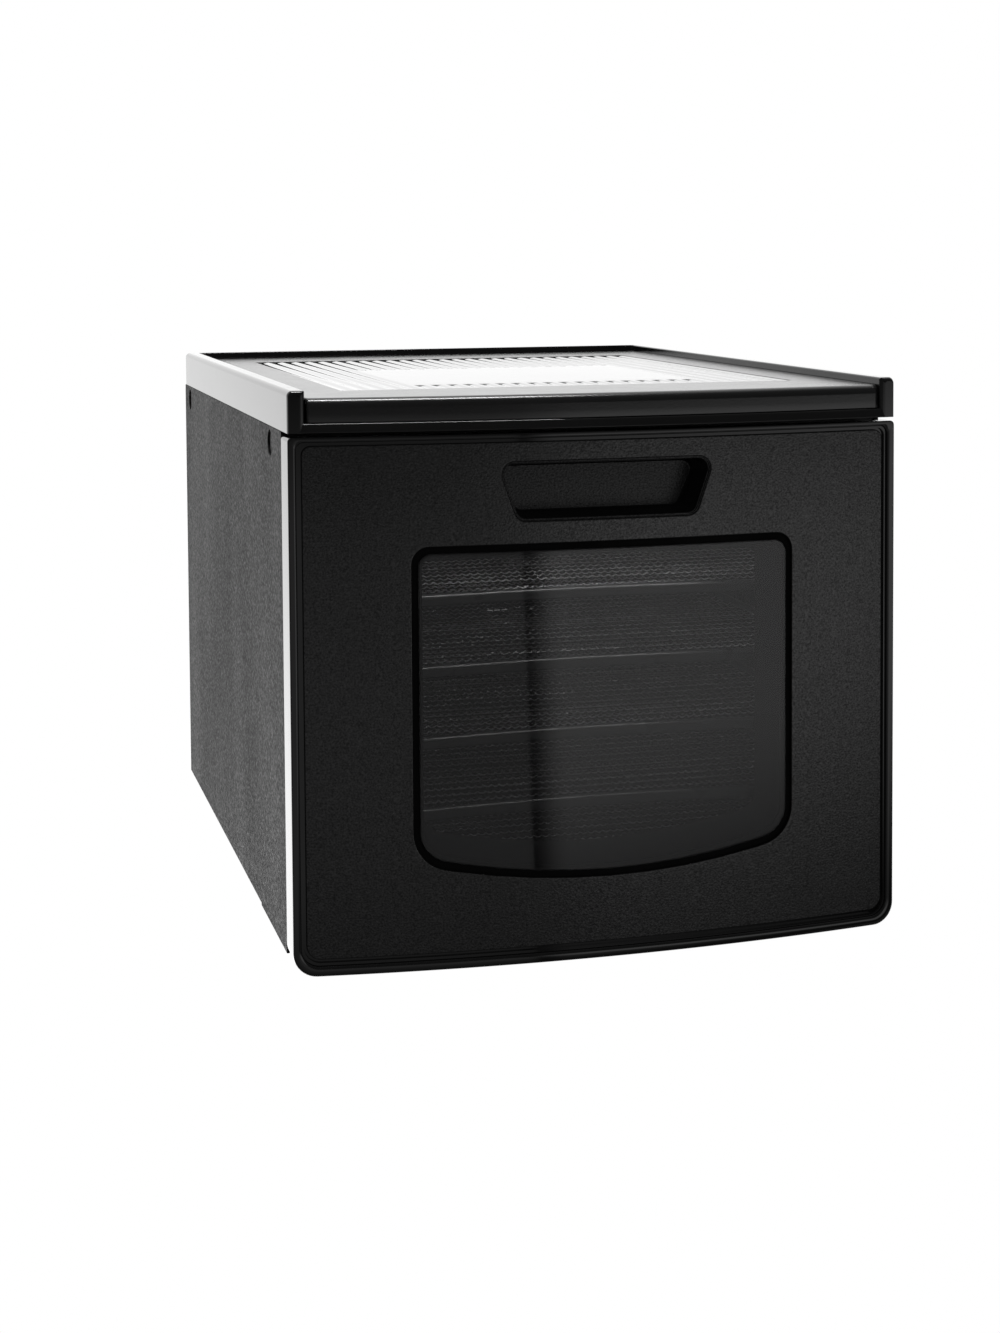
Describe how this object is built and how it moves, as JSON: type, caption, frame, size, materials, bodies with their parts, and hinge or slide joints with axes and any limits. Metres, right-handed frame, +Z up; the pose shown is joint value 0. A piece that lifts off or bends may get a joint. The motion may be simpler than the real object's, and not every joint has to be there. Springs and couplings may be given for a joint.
{
  "type": "food dehydrator",
  "caption": "Box food dehydrator with a bowed pull-off door, smoked window, sliding mesh trays, railed flat lid, and a rear fan, heater, dial and switch.",
  "frame": {"origin": "on the table under the middle of the whole object", "axes": "+Z up, -Y the door side, +X to the right of someone facing the door"},
  "size_m": [0.345, 0.465, 0.316],
  "materials": {
    "gloss_black": "polished moulded plastic",
    "satin_black": "satin moulded plastic, very fine grain",
    "grained_black": "fine leather-like grain",
    "smoked_clear": "smoked transparent, polished",
    "black_rubber": "matt",
    "plated_steel": "plain plated sheet and wire",
    "motor_steel": "dull metal",
    "heater_wire": "oxidised resistance wire",
    "white_ceramic": "white, matt",
    "lead_grey": "heat-proof sleeving",
    "tray_black": "satin moulded plastic",
    "mesh_dark": "flexible woven-look mesh"
  },
  "bodies": {
    "case": {"top_cover": "gloss_black", "side_panel_left": "grained_black", "side_panel_right": "grained_black", "base_pan": "satin_black", "rear_panel": "satin_black", "front_bezel": "satin_black", "tray_guide_left": "satin_black", "tray_guide_right": "satin_black", "rear_baffle": "plated_steel", "heater_frame": "plated_steel", "heater_coil": "heater_wire", "fan_motor": "motor_steel", "motor_bracket": "plated_steel", "thermal_fuse": "white_ceramic", "thermostat_body": "white_ceramic", "switch_housing": "satin_black", "power_inlet": "satin_black", "mains_lead": "lead_grey", "heater_lead": "lead_grey", "strike_plate_left": "plated_steel", "strike_plate_right": "plated_steel", "foot_front_left": "black_rubber", "side_plug_left_front": "grained_black", "foot_front_right": "black_rubber", "side_plug_right_front": "grained_black", "foot_rear_left": "black_rubber", "side_plug_left_rear": "grained_black", "foot_rear_right": "black_rubber", "side_plug_right_rear": "grained_black", "rear_screw_1": "plated_steel", "rear_screw_2": "plated_steel", "rear_screw_3": "plated_steel", "rear_screw_4": "plated_steel"},
    "door": {"door_frame": "gloss_black", "door_panel": "satin_black", "door_inner": "grained_black", "window_gasket": "black_rubber", "window_pane": "smoked_clear", "handle_cup": "gloss_black", "door_magnet_left": "motor_steel", "door_magnet_right": "motor_steel"},
    "fan": {"impeller": "satin_black", "fan_shaft": "plated_steel"},
    "thermostat_dial": {"thermostat_knob": "satin_black", "thermostat_shaft": "plated_steel"},
    "power_switch": {"switch_rocker": "gloss_black"},
    "tray_1": {"tray_frame_1": "tray_black", "tray_mesh_1": "mesh_dark"},
    "tray_2": {"tray_frame_2": "tray_black", "tray_mesh_2": "mesh_dark"},
    "tray_3": {"tray_frame_3": "tray_black", "tray_mesh_3": "mesh_dark"},
    "tray_4": {"tray_frame_4": "tray_black", "tray_mesh_4": "mesh_dark"},
    "tray_5": {"tray_frame_5": "tray_black", "tray_mesh_5": "mesh_dark"},
    "tray_6": {"tray_frame_6": "tray_black", "tray_mesh_6": "mesh_dark"}
  },
  "joints": [
    {"name": "door_slide", "type": "slide", "parent": "case", "child": "door", "axis": [0, -1, 0], "range_m": [0, 0.36]},
    {"name": "tray_1_slide", "type": "slide", "parent": "case", "child": "tray_1", "axis": [0, -1, 0], "range_m": [0, 0.27]},
    {"name": "tray_2_slide", "type": "slide", "parent": "case", "child": "tray_2", "axis": [0, -1, 0], "range_m": [0, 0.27]},
    {"name": "tray_3_slide", "type": "slide", "parent": "case", "child": "tray_3", "axis": [0, -1, 0], "range_m": [0, 0.27]},
    {"name": "tray_4_slide", "type": "slide", "parent": "case", "child": "tray_4", "axis": [0, -1, 0], "range_m": [0, 0.27]},
    {"name": "tray_5_slide", "type": "slide", "parent": "case", "child": "tray_5", "axis": [0, -1, 0], "range_m": [0, 0.27]},
    {"name": "tray_6_slide", "type": "slide", "parent": "case", "child": "tray_6", "axis": [0, -1, 0], "range_m": [0, 0.27]},
    {"name": "fan_spin", "type": "hinge", "parent": "case", "child": "fan", "pos_m": [0, 0.16475, 0.152], "axis": [0, 1, 0], "continuous": true},
    {"name": "thermostat_turn", "type": "hinge", "parent": "case", "child": "thermostat_dial", "pos_m": [0.105, 0.2188, 0.246], "axis": [0, 1, 0], "range_deg": [0, 270]},
    {"name": "power_switch_rock", "type": "hinge", "parent": "case", "child": "power_switch", "pos_m": [0.052, 0.2177, 0.246], "axis": [1, 0, 0], "range_deg": [-16, 0]}
  ],
  "couplings": [
    {"joint": "tray_1_slide", "follows": "door_slide", "ratio": 0.75},
    {"joint": "tray_2_slide", "follows": "door_slide", "ratio": 0.75},
    {"joint": "tray_3_slide", "follows": "door_slide", "ratio": 0.75},
    {"joint": "tray_4_slide", "follows": "door_slide", "ratio": 0.75},
    {"joint": "tray_5_slide", "follows": "door_slide", "ratio": 0.75},
    {"joint": "tray_6_slide", "follows": "door_slide", "ratio": 0.75}
  ]
}
